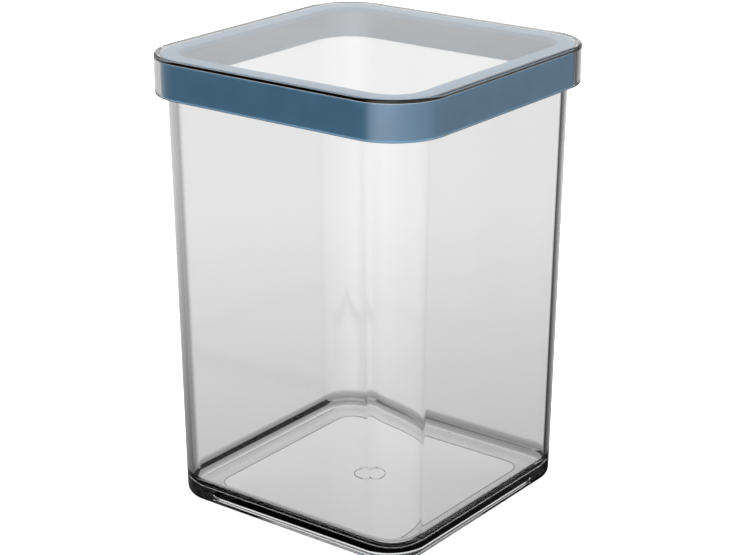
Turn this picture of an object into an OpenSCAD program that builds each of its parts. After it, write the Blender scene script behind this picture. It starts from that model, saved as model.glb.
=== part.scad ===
// Square storage canister with a lift-off lid.
// A clear moulded body, a clear lid cover, and a coloured liner that sits
// inside the cover and grips the canister's rim from both sides.
// The origin is the middle of the foot, on the surface it stands on; +Z is up.
// All sizes are in millimetres.

/* [Canister] */
// Outside width of the body at the foot
canister_w = 88.2; // [60:0.1:160]
// Height of the body, foot to rim
canister_h = 139.0; // [50:0.1:300]
// Plan radius of the body's corners at the foot
corner_r = 11.3; // [8:0.1:20]
// Outward slope of the outer walls, in degrees
wall_draft = 0.93; // [0.2:0.01:1.2]
// Thickness of the wall at the foot
wall_foot = 2.0; // [1.2:0.1:3]
// Thickness of the wall at the rim
wall_rim = 1.8; // [1.2:0.1:2.8]
// Thickness of the floor, foot to inside
floor_t = 4.0; // [2:0.1:5]
// Radius of the edge where the outer walls turn under
foot_round = 3.0; // [0.5:0.1:4]
// Radius where the inner walls meet the floor
inner_round = 4.5; // [1:0.1:5]
// Radius of the two edges of the rim
rim_round = 0.5; // [0.2:0.05:0.6]

/* [Underside] */
// Width of the standing ring around the underside
foot_ring_w = 10.1; // [6:0.1:14]
// Depth of the shallow recess inside the standing ring
recess_depth = 0.5; // [0.2:0.05:1]
// Plan radius of the recess's corners
recess_corner = 6; // [2:0.5:10]
// Radius of the round gate dimple in the middle of the recess
gate_r = 4.4; // [2:0.1:8]
// Depth of the gate dimple above the recess
gate_depth = 0.8; // [0.2:0.05:0.8]

/* [Lid cover] */
// Thickness of the cover's top plate
plate_t = 1.3; // [0.9:0.1:3.5]
// Thickness of the cover's skirt
skirt_t = 1.8; // [1.2:0.1:3]
// Height of the cover, skirt edge to top
lid_h = 12.0; // [8:0.1:20]
// Radius of the cover's upper edge
top_round = 0.8; // [0.4:0.1:1.8]
// Radius of the skirt's lower edges
skirt_round = 0.4; // [0.1:0.05:0.5]

/* [Lid liner] */
// Thickness of the liner's web, between the cover and the rim
web_t = 1.1; // [0.8:0.1:2.5]
// Thickness of the liner's outer leg, inside the cover's skirt
outer_leg_t = 1.45; // [1:0.05:2.5]
// Thickness of the liner's inner leg, inside the canister
inner_leg_t = 1.7; // [1:0.1:2.5]
// Length of the inner leg below the web
inner_leg_h = 0.8; // [0.6:0.1:5]
// Radius of the lower edges of both legs
leg_round = 0.4; // [0.1:0.05:0.45]

/* [Clearances] */
// Gap between the liner's outer leg and the canister
leg_gap = 0.3; // [0.1:0.05:0.6]
// Gap between the liner's inner leg and the canister
plug_gap = 0.3; // [0.1:0.05:0.6]
// Gap between the liner and the cover's skirt
liner_gap = 0.1; // [0.02:0.02:0.3]
// How far the liner's outer leg stops above the cover's skirt edge
leg_step = 0.1; // [0:0.1:1]

/* [Hidden] */
$fn = 96;
past = 1; // how far a cut runs past the face it opens

// Every radius below is measured from the corner centres, so that walls and
// clearances stay even all the way around the corners.
corner_centre = canister_w / 2 - corner_r;
foot_r = corner_r;
rim_r = foot_r + canister_h * tan(wall_draft);
inner_foot_r = foot_r - wall_foot;
inner_rim_r = rim_r - wall_rim;
inner_draft = atan((inner_rim_r - inner_foot_r) / canister_h);

leg_in_r = rim_r + leg_gap;
leg_out_r = leg_in_r + outer_leg_t;
skirt_in_r = leg_out_r + liner_gap;
lid_r = skirt_in_r + skirt_t;
plug_out_r = inner_rim_r - (inner_leg_h + leg_round) * tan(inner_draft) - plug_gap;
plug_in_r = plug_out_r - inner_leg_t;

web_z = canister_h;
plate_z = web_z + web_t;
top_z = plate_z + plate_t;
skirt_z = top_z - lid_h;
leg_z = skirt_z + leg_step;
plug_z = web_z - inner_leg_h;

// Centre of a rounding of radius r that touches a level line and a wall that
// leans out by draft; wall_r is the wall's radius at z = 0 and z is the height
// of the rounding's centre. side is 1 for an outer wall, -1 for an inner one.
function round_centre(wall_r, draft, z, r, side) =
    wall_r + z * tan(draft) - side * r / cos(draft);

// Where that rounding touches the wall
function touch(centre_r, draft, z, r, side) =
    [centre_r + side * r * cos(draft), z - side * r * sin(draft)];

// Turns a profile drawn outwards from a corner centre into a closed square
// ring or shell: four quarter turns joined by four straight runs.
module around_square() {
    for (quarter = [0:3]) rotate([0, 0, 90 * quarter]) {
        translate([corner_centre, corner_centre, 0])
            rotate_extrude(angle = 90) children();
        translate([corner_centre, 0, 0]) rotate([90, 0, 0])
            linear_extrude(2 * corner_centre, center = true) children();
    }
}

// The square slab between the four corner centres
module middle_slab(z, t) {
    translate([-corner_centre, -corner_centre, z])
        cube([2 * corner_centre, 2 * corner_centre, t]);
}

// Outline of a full wall section, out to the canister's outer face
module canister_outer_profile() {
    foot_c = round_centre(foot_r, wall_draft, foot_round, foot_round, 1);
    rim_c = round_centre(foot_r, wall_draft, canister_h - rim_round, rim_round, 1);
    polygon([
        [0, 0],
        [foot_c, 0],
        touch(foot_c, wall_draft, foot_round, foot_round, 1),
        touch(rim_c, wall_draft, canister_h - rim_round, rim_round, 1),
        [rim_c, canister_h],
        [0, canister_h]
    ]);
    translate([foot_c, foot_round]) circle(foot_round);
    translate([rim_c, canister_h - rim_round]) circle(rim_round);
}

// Outline of the space inside the canister, open past the rim
module canister_inner_profile() {
    floor_c_z = floor_t + inner_round;
    floor_c = round_centre(inner_foot_r, inner_draft, floor_c_z, inner_round, 1);
    rim_c = round_centre(inner_foot_r, inner_draft, canister_h - rim_round, rim_round, -1);
    polygon([
        [0, floor_t],
        [floor_c, floor_t],
        touch(floor_c, inner_draft, floor_c_z, inner_round, 1),
        touch(rim_c, inner_draft, canister_h - rim_round, rim_round, -1),
        [rim_c, canister_h],
        [rim_c, canister_h + past],
        [0, canister_h + past]
    ]);
    translate([floor_c, floor_c_z]) circle(inner_round);
}

// The rounding that the inner profile's flat cut takes off the rim's inner edge
module rim_inner_rounding() {
    rim_c = round_centre(inner_foot_r, inner_draft, canister_h - rim_round, rim_round, -1);
    translate([rim_c, canister_h - rim_round]) circle(rim_round);
}

module rounded_slab(half_w, corner, z, t) {
    c = half_w - corner;
    for (x = [-c, c], y = [-c, c]) translate([x, y, z]) cylinder(r = corner, h = t);
    translate([-half_w, -c, z]) cube([2 * half_w, 2 * c, t]);
    translate([-c, -half_w, z]) cube([2 * c, 2 * half_w, t]);
}

module canister() {
    color([0.86, 0.88, 0.89, 0.35]) {
        difference() {
            union() {
                around_square() {
                    difference() {
                        canister_outer_profile();
                        canister_inner_profile();
                    }
                    rim_inner_rounding();
                }
                middle_slab(0, floor_t);
            }
            rounded_slab(canister_w / 2 - foot_ring_w, recess_corner, -past, past + recess_depth);
            translate([0, 0, -past]) cylinder(r = gate_r, h = past + recess_depth + gate_depth);
        }
    }
}

// Plate and skirt of the cover, with its rounded upper and lower edges
module cover_profile() {
    polygon([
        [0, plate_z],
        [skirt_in_r, plate_z],
        [skirt_in_r, skirt_z + skirt_round],
        [skirt_in_r + skirt_round, skirt_z],
        [lid_r - skirt_round, skirt_z],
        [lid_r, skirt_z + skirt_round],
        [lid_r, top_z - top_round],
        [lid_r - top_round, top_z],
        [0, top_z]
    ]);
    intersection() {
        translate([lid_r - top_round, top_z - top_round]) circle(top_round);
        translate([lid_r - top_round, top_z - top_round]) square(top_round);
    }
    for (r = [skirt_in_r + skirt_round, lid_r - skirt_round])
        translate([r, skirt_z + skirt_round]) circle(skirt_round);
}

module lid_cover() {
    color([0.86, 0.88, 0.89, 0.35]) {
        around_square() cover_profile();
        middle_slab(plate_z, plate_t);
    }
}

// One leg of the liner, hanging from the web, with its end rounded
module leg_profile(r_in, r_out, z) {
    polygon([
        [r_in, plate_z],
        [r_in, z + leg_round],
        [r_in + leg_round, z],
        [r_out - leg_round, z],
        [r_out, z + leg_round],
        [r_out, plate_z]
    ]);
    for (r = [r_in + leg_round, r_out - leg_round])
        translate([r, z + leg_round]) circle(leg_round);
}

module lid_liner() {
    color([0.25, 0.42, 0.55]) around_square() {
        leg_profile(leg_in_r, leg_out_r, leg_z);
        leg_profile(plug_in_r, plug_out_r, plug_z);
        translate([plug_in_r, web_z]) square([leg_out_r - plug_in_r, web_t]);
    }
}

canister();
lid_cover();
lid_liner();
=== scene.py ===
import math

import bmesh
import bpy
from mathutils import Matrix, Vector


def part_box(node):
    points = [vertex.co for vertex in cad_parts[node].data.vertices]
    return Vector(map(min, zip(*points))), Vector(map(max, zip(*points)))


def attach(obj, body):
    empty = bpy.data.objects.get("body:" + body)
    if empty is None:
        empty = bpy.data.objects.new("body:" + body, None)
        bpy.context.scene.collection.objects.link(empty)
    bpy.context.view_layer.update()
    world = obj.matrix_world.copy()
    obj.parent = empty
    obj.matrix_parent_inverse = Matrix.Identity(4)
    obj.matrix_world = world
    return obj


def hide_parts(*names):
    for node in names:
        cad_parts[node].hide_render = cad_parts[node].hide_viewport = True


# A square storage canister of clear moulded plastic, with a lift-off lid. The
# file follows the object as it is put together: the canister, the clear cover
# of the lid, the blue liner pressed into the cover, and then the studio.
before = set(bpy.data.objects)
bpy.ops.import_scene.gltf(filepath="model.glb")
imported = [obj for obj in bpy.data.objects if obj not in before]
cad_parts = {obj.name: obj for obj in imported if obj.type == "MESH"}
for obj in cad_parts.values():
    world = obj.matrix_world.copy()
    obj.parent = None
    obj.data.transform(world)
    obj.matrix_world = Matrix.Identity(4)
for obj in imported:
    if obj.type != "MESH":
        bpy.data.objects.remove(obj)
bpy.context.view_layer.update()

# ---------------------------------------------------------------------------
# Canister
# One injection moulding in clear SAN: four walls with draft, corners of even
# radius, a thicker floor on a standing ring, and the gate mark underneath.
# It was cooled in a polished tool, so both faces are glossy.
# ---------------------------------------------------------------------------
MM = 0.001                            # sizes below are in millimetres

can_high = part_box("canister")[1]
rim_half = can_high.x / MM            # outer half width at the rim
rim_z = can_high.z / MM
foot_half = 44.1                      # outer half width where the wall meets the ground
corner_centre = 32.8                  # all plan radii share this centre
wall_foot, wall_rim = 2.0, 1.8
floor_t = 4.0
foot_round, inner_round, rim_round = 3.0, 4.5, 0.5
recess_half, recess_corner, recess_depth = 34.0, 6.0, 0.5
gate_r, gate_depth = 4.4, 0.8
edge_round = 0.08                     # smallest radius a tool leaves on an edge
recess_bevel = 0.2                    # worn edge at the recess's upper rim
CORNER_STEPS = 28                     # points around each corner


def arc(centre, radius, start, end, steps):
    """Points (across, up) on an arc, in degrees anticlockwise from straight out."""
    points = []
    for i in range(steps + 1):
        a = math.radians(start + (end - start) * i / steps)
        points.append((centre[0] + radius * math.cos(a), centre[1] + radius * math.sin(a)))
    return points


def wall_rounding(half_0, draft, z, radius, side):
    """Centre of a rounding that touches a leaning wall; side is 1 outside, -1 inside."""
    return (half_0 + z * math.tan(draft) - side * radius / math.cos(draft), z)


def square_ring(bm, half, corner, z):
    """A ring of points around a square with round corners, at one height."""
    c = half - corner
    ring = []
    for quarter in range(4):
        sx, sy = ((1, 1), (-1, 1), (-1, -1), (1, -1))[quarter]
        for i in range(CORNER_STEPS + 1):
            a = math.radians(90 * (quarter + i / CORNER_STEPS))
            x, y = sx * c + corner * math.cos(a), sy * c + corner * math.sin(a)
            ring.append(bm.verts.new(Vector((x, y, z)) * MM))
    return ring


def skin(name, outline, closed=False):
    """A solid whose section is outline, carried around the square.

    outline holds (half width, height) points, or (half width, height, plan
    radius) where the corners don't share corner_centre.
    """
    bm = bmesh.new()
    rings = []
    for half, z, *corner in outline:
        rings.append(square_ring(bm, half, corner[0] if corner else half - corner_centre, z))
    pairs = list(zip(rings, rings[1:]))
    if closed:
        pairs.append((rings[-1], rings[0]))
    for lower, upper in pairs:
        for i in range(len(lower)):
            j = (i + 1) % len(lower)
            bm.faces.new((lower[i], lower[j], upper[j], upper[i]))
    if not closed:
        bm.faces.new(rings[0])
        bm.faces.new(rings[-1])
    bmesh.ops.remove_doubles(bm, verts=bm.verts, dist=1e-7)
    bmesh.ops.recalc_face_normals(bm, faces=bm.faces)
    for face in bm.faces:
        face.smooth = True
    mesh = bpy.data.meshes.new(name)
    bm.to_mesh(mesh)
    bm.free()
    piece = bpy.data.objects.new(name, mesh)
    bpy.context.scene.collection.objects.link(piece)
    flats_lead = piece.modifiers.new("flats_lead", "WEIGHTED_NORMAL")
    flats_lead.weight = 100
    return piece


outer_draft = math.atan((rim_half - foot_half) / rim_z)
inner_foot_half = foot_half - wall_foot
inner_draft = math.atan((rim_half - wall_rim - inner_foot_half) / rim_z)
lean = math.degrees(outer_draft)
inner_lean = math.degrees(inner_draft)

foot_c = wall_rounding(foot_half, outer_draft, foot_round, foot_round, 1)
rim_out_c = wall_rounding(foot_half, outer_draft, rim_z - rim_round, rim_round, 1)
rim_in_c = wall_rounding(inner_foot_half, inner_draft, rim_z - rim_round, rim_round, -1)
floor_c = wall_rounding(inner_foot_half, inner_draft, floor_t + inner_round, inner_round, 1)

gate_z = recess_depth + gate_depth
canister_outline = [(gate_r - edge_round, gate_z, gate_r - edge_round)]
canister_outline += [(gate_r, gate_z - edge_round, gate_r), (gate_r, recess_depth + edge_round, gate_r)]
canister_outline += [(gate_r + edge_round, recess_depth, gate_r + edge_round)]
canister_outline += [(recess_half - recess_bevel, recess_depth, recess_corner - recess_bevel)]
canister_outline += [(recess_half, recess_depth - recess_bevel, recess_corner)]
canister_outline += [(recess_half + 0.05, 0.1, recess_corner)]
canister_outline += [(recess_half + 0.15, 0, recess_corner + 0.1)]
canister_outline += arc(foot_c, foot_round, -90, -lean, 14)
canister_outline += arc(rim_out_c, rim_round, -lean, 90, 6)
canister_outline += arc(rim_in_c, rim_round, 90, 180 - inner_lean, 6)
canister_outline += arc(floor_c, inner_round, -inner_lean, -90, 16)
canister = skin("canister_moulding", canister_outline)


def linear(hex_colour):
    """sRGB hex to the linear colour that a shader socket takes."""
    out = []
    for i in (0, 2, 4):
        v = int(hex_colour[i:i + 2], 16) / 255
        out.append(v / 12.92 if v <= 0.04045 else ((v + 0.055) / 1.055) ** 2.4)
    return (*out, 1.0)


def add(tree, kind, links=None, **settings):
    """Adds a node; links maps an input's name or number to a value or a socket."""
    made = tree.nodes.new(kind)
    for name, value in settings.items():
        setattr(made, name, value)
    for key, value in (links or {}).items():
        if isinstance(value, bpy.types.NodeSocket):
            tree.links.new(value, made.inputs[key])
        else:
            made.inputs[key].default_value = value
    return made


def clear_plastic(name, gloss_low, gloss_high, ripple_mm):
    """Clear SAN; the tool's finish sets the roughness and the depth of the ripple."""
    material = bpy.data.materials.new(name)
    material.use_nodes = True
    tree = material.node_tree
    tree.nodes.clear()
    place = add(tree, "ShaderNodeTexCoord")
    # The melt cools into slow waves about 25 mm long
    waves = add(tree, "ShaderNodeTexNoise", {
        "Vector": place.outputs["Object"], "Scale": 1 / (25 * MM), "Detail": 2.0})
    ripple = add(tree, "ShaderNodeBump", {
        "Height": waves.outputs["Fac"], "Strength": 0.3, "Distance": ripple_mm * MM})
    # Handling leaves the gloss very slightly uneven, in patches of about 12 mm
    patches = add(tree, "ShaderNodeTexNoise", {
        "Vector": place.outputs["Object"], "Scale": 1 / (12 * MM), "Detail": 4.0})
    gloss = add(tree, "ShaderNodeMapRange", {
        "Value": patches.outputs["Fac"], "From Min": 0.4, "From Max": 0.7,
        "To Min": gloss_low, "To Max": gloss_high})
    plastic = add(tree, "ShaderNodeBsdfPrincipled", {
        "Base Color": linear("ffffff"), "IOR": 1.57, "Roughness": gloss.outputs[0],
        "Transmission Weight": 1.0, "Normal": ripple.outputs["Normal"]})
    # A faint grey that shows only where light runs a long way inside a wall
    depth = add(tree, "ShaderNodeVolumeAbsorption", {"Color": linear("b0b4b4"), "Density": 12.0})
    add(tree, "ShaderNodeOutputMaterial", {"Surface": plastic.outputs[0], "Volume": depth.outputs[0]})
    return material


# SAN from a mirror-polished tool: sharp reflections, dark and light lines along every edge
san = clear_plastic("clear_san_polished", 0.0, 0.02, 0.01)
# The standing ring was spark eroded: a fine matt that greys the light coming up through it
matt = clear_plastic("clear_san_spark_eroded", 0.24, 0.27, 0.01)
canister.data.materials.append(san)
canister.data.materials.append(matt)
for face in canister.data.polygons:
    if all(canister.data.vertices[i].co.z < 0.01 * MM for i in face.vertices):
        face.material_index = 1
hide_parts("canister")
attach(canister, "canister")

# ---------------------------------------------------------------------------
# Lid cover
# A second clear SAN moulding: a flat plate with a skirt 12 mm deep around the
# rim. It takes the same polish as the canister, and the liner sits inside it.
# ---------------------------------------------------------------------------
cover_low, cover_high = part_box("lid_cover")
lid_half = cover_high.x / MM
top_z = cover_high.z / MM
skirt_z = cover_low.z / MM
skirt_t, plate_t = 1.8, 1.3
top_round, skirt_round, inner_edge = 0.8, 0.4, 0.25
plate_z = top_z - plate_t
skirt_in = lid_half - skirt_t

middle_half, middle_corner = 20.0, 8.0    # where the plate's flat middle starts

cover_outline = [(middle_half, plate_z, middle_corner)]
cover_outline += arc((skirt_in - inner_edge, plate_z - inner_edge), inner_edge, 90, 0, 4)
cover_outline += arc((skirt_in + skirt_round, skirt_z + skirt_round), skirt_round, 180, 270, 6)
cover_outline += arc((lid_half - skirt_round, skirt_z + skirt_round), skirt_round, -90, 0, 6)
cover_outline += arc((lid_half - top_round, top_z - top_round), top_round, 0, 90, 12)
cover_outline += [(middle_half, top_z, middle_corner)]
cover = skin("lid_cover_moulding", cover_outline)
cover.data.materials.append(san)
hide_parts("lid_cover")
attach(cover, "lid")

# ---------------------------------------------------------------------------
# Lid liner
# A soft blue TPE moulding pressed up into the cover. Its outer leg fills the
# skirt, its web lies under the plate, and its inner leg plugs the mouth.
# ---------------------------------------------------------------------------
liner_low, liner_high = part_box("lid_liner")
leg_gap, web_gap, cover_gap = 0.3, 0.05, 0.02
plug_drop = 0.8                       # how far the inner leg hangs below the rim
leg_out = liner_high.x / MM - cover_gap
leg_z = liner_low.z / MM
web_top = plate_z - web_gap
leg_in = rim_half + leg_gap
web_under = rim_z + web_gap
plug_out, plug_in = 44.2, 42.5
plug_z = rim_z - plug_drop
leg_round, seat_round, crown_round = 0.4, 0.25, 0.6

liner_outline = arc((leg_out - leg_round, leg_z + leg_round), leg_round, -90, 0, 5)
liner_outline += arc((leg_out - crown_round, web_top - crown_round), crown_round, 0, 90, 6)
liner_outline += arc((plug_in + seat_round, web_top - seat_round), seat_round, 90, 180, 4)
liner_outline += arc((plug_in + leg_round, plug_z + leg_round), leg_round, 180, 270, 5)
liner_outline += arc((plug_out - leg_round, plug_z + leg_round), leg_round, -90, 0, 5)
liner_outline += arc((plug_out + seat_round, web_under - seat_round), seat_round, 180, 90, 4)
liner_outline += arc((leg_in - seat_round, web_under - seat_round), seat_round, 90, 0, 4)
liner_outline += arc((leg_in + leg_round, leg_z + leg_round), leg_round, 180, 270, 5)
liner = skin("lid_liner_moulding", liner_outline, closed=True)

# TPE from a lightly etched tool: a soft satin, with a colder, bluish highlight
# at the corners where the cover wraps it closely
blue = bpy.data.materials.new("blue_tpe_satin")
blue.use_nodes = True
tree = blue.node_tree
tree.nodes.clear()
place = add(tree, "ShaderNodeTexCoord")
# Pigment flows unevenly, in streaks about 8 mm long
streaks = add(tree, "ShaderNodeTexNoise", {
    "Vector": place.outputs["Object"], "Scale": 1 / (8 * MM), "Detail": 3.0})
pigment = add(tree, "ShaderNodeValToRGB", {"Fac": streaks.outputs["Fac"]})
for stop, position, shade in zip(pigment.color_ramp.elements, (0.35, 0.65), ("6294b6", "689abc")):
    stop.position = position
    stop.color = linear(shade)
# The etch is 0.05 mm; drawn at 0.5 mm so that it shows
etch = add(tree, "ShaderNodeTexNoise", {
    "Vector": place.outputs["Object"], "Scale": 1 / (0.5 * MM), "Detail": 2.0})
satin = add(tree, "ShaderNodeMapRange", {
    "Value": etch.outputs["Fac"], "From Min": 0.3, "From Max": 0.7, "To Min": 0.28, "To Max": 0.38})
grain = add(tree, "ShaderNodeBump", {
    "Height": etch.outputs["Fac"], "Strength": 0.15, "Distance": 0.02 * MM})
soft = add(tree, "ShaderNodeBsdfPrincipled", {
    "Base Color": pigment.outputs["Color"], "Roughness": satin.outputs[0], "IOR": 1.75,
    "Specular IOR Level": 1.0, "Specular Tint": linear("a0d0ff"), "Normal": grain.outputs["Normal"]})
add(tree, "ShaderNodeOutputMaterial", {"Surface": soft.outputs[0]})
liner.data.materials.append(blue)
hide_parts("lid_liner")
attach(liner, "lid")

# ---------------------------------------------------------------------------
# Studio
# A white table lit from below, and a tent of soft panels. Light that comes
# straight through the clear walls and light that has been reflected see
# different levels: one white backdrop, one ring of grey and black panels.
# ---------------------------------------------------------------------------
table_half = 6.0
table_corners = [(x * table_half, y * table_half, 0) for x, y in ((-1, -1), (1, -1), (1, 1), (-1, 1))]
table_mesh = bpy.data.meshes.new("studio_table")
table_mesh.from_pydata(table_corners, [], [(0, 1, 2, 3)])
table = bpy.data.objects.new("studio_table", table_mesh)
table.location.z = -0.1 * MM          # a hair below the foot, so that the two never meet
bpy.context.scene.collection.objects.link(table)
acrylic = bpy.data.materials.new("white_acrylic_lit_from_below")
acrylic.use_nodes = True
tree = acrylic.node_tree
tree.nodes.clear()
sheet = add(tree, "ShaderNodeBsdfPrincipled", {
    "Base Color": linear("e0e0e0"), "Roughness": 0.8,
    "Emission Color": linear("ffffff"), "Emission Strength": 0.75})
add(tree, "ShaderNodeOutputMaterial", {"Surface": sheet.outputs[0]})
table_mesh.materials.append(acrylic)
table.visible_glossy = False
table.visible_transmission = False

world = bpy.data.worlds.new("studio_tent")
bpy.context.scene.world = world
world.use_nodes = True
tree = world.node_tree
tree.nodes.clear()
way = add(tree, "ShaderNodeTexCoord")
parts = add(tree, "ShaderNodeSeparateXYZ", {0: way.outputs["Generated"]})
up = parts.outputs["Z"]
bearing = add(tree, "ShaderNodeMath", {0: parts.outputs["Y"], 1: parts.outputs["X"]}, operation="ARCTAN2")
turned = add(tree, "ShaderNodeMapRange", {
    "Value": bearing.outputs[0], "From Min": -math.pi, "From Max": math.pi, "To Min": 0.0, "To Max": 1.0})


BRIGHTEST = 1.5                       # a ramp holds its levels divided by this


def panels(tree, position, stops):
    """A soft run of grey levels along a line, given as (place, level)."""
    ramp = add(tree, "ShaderNodeValToRGB", {"Fac": position})
    band = ramp.color_ramp.elements
    for i, (place, level) in enumerate(stops):
        stop = band[i] if i < 2 else band.new(place)
        stop.position = place
        stop.color = (level / BRIGHTEST, level / BRIGHTEST, level / BRIGHTEST, 1)
    scaled = add(tree, "ShaderNodeMath", {0: ramp.outputs["Color"], 1: BRIGHTEST}, operation="MULTIPLY")
    return scaled.outputs[0]


def by_bearing(tree, levels):
    """The same, around the horizon; bearings are in degrees from +X."""
    return panels(tree, turned.outputs[0], [((deg + 180) / 360, level) for deg, level in levels])


# The ring of panels that reflections pick up: a tall softbox beside the camera
# at -70 degrees, the backdrop at 111 to 140, and grey or black between them
ring = by_bearing(tree, [
    (-180, 0.50), (-150, 0.10), (-125, 0.02), (-108, 0.10), (-98, 0.90), (-80, 1.4), (-60, 1.3),
    (-35, 1.00), (-17, 0.80), (15, 0.70), (38, 0.35), (60, 0.30), (76, 0.05), (83, 0.12), (90, 0.30),
    (97, 0.38), (106, 0.42), (111, 1.0), (140, 1.0), (147, 0.60), (177, 0.55), (180, 0.50)])
# A dim ceiling, and a black floor cloth below
above = add(tree, "ShaderNodeMapRange", {
    "Value": up, "From Min": 0.80, "From Max": 0.95, "To Min": 0.0, "To Max": 0.15})
tent = add(tree, "ShaderNodeMath", {0: ring, 1: above.outputs[0]}, operation="MAXIMUM")
below = add(tree, "ShaderNodeMapRange", {
    "Value": up, "From Min": -0.50, "From Max": -0.30, "To Min": 0.0, "To Max": 1.0})
high = add(tree, "ShaderNodeMapRange", {
    "Value": up, "From Min": 0.0, "From Max": 0.25, "To Min": 1.0, "To Max": 0.87})
shade = add(tree, "ShaderNodeMath", {0: below.outputs[0], 1: high.outputs[0]}, operation="MULTIPLY")
gloss = add(tree, "ShaderNodeMath", {0: tent.outputs[0], 1: shade.outputs[0]}, operation="MULTIPLY")

rise_in_line = add(tree, "ShaderNodeMapRange", {
    "Value": up, "From Min": -1.0, "From Max": 1.0, "To Min": 0.0, "To Max": 1.0})
# The backdrop that shows through, from nadir to zenith: it greys towards the
# table, and a bright scrim overhead lights the top of the lid
see = panels(tree, rise_in_line.outputs[0], [
    (0.0, 0.75), (0.06, 0.62), (0.13, 0.32), (0.22, 0.45), (0.27, 0.66), (0.30, 0.77),
    (0.345, 0.97), (0.80, 1.0), (0.90, 2.0), (1.0, 2.6)])
# Two narrow flags beside the backdrop draw the grey lines down the clear corners
flagged = by_bearing(tree, [
    (-180, 1.0), (80, 1.0), (87, 0.55), (97, 0.55), (106, 1.0), (145, 1.0), (152, 0.50), (168, 0.50),
    (176, 1.0)])
seen = add(tree, "ShaderNodeMath", {0: see, 1: flagged}, operation="MULTIPLY")
path = add(tree, "ShaderNodeLightPath")
bounced = add(tree, "ShaderNodeMath", {0: path.outputs["Glossy Depth"], 1: 0.5}, operation="GREATER_THAN")
level = add(tree, "ShaderNodeMix", {
    0: bounced.outputs[0], 2: seen.outputs[0], 3: gloss.outputs[0]}, data_type="FLOAT")
# Seen directly, past the canister, the backdrop is plain white
plain = add(tree, "ShaderNodeMath", {
    0: level.outputs[0], 1: path.outputs["Is Camera Ray"]}, operation="MAXIMUM")
glow = add(tree, "ShaderNodeBackground", {"Color": (1, 1, 1, 1), "Strength": plain.outputs[0]})
add(tree, "ShaderNodeOutputWorld", {"Surface": glow.outputs[0]})

# A long lens on a tripod, a little above the lid and to the right
camera_data = bpy.data.cameras.new("camera")
camera_data.sensor_width = 36.0
camera_data.lens = 96.765
camera = bpy.data.objects.new("camera", camera_data)
bpy.context.scene.collection.objects.link(camera)
bpy.context.scene.camera = camera
turn, rise, distance = math.radians(37.094), math.radians(19.813), 0.61077
back = Vector((math.sin(turn) * math.cos(rise), -math.cos(turn) * math.cos(rise), math.sin(rise)))
aim = Vector((0, 0, 68.786)) * MM + Vector((math.cos(turn), math.sin(turn), 0)) * 0.021 * MM
camera.location = aim + back * distance
camera.rotation_euler = back.to_track_quat("Z", "Y").to_euler()
bpy.context.scene.view_settings.view_transform = "Standard"
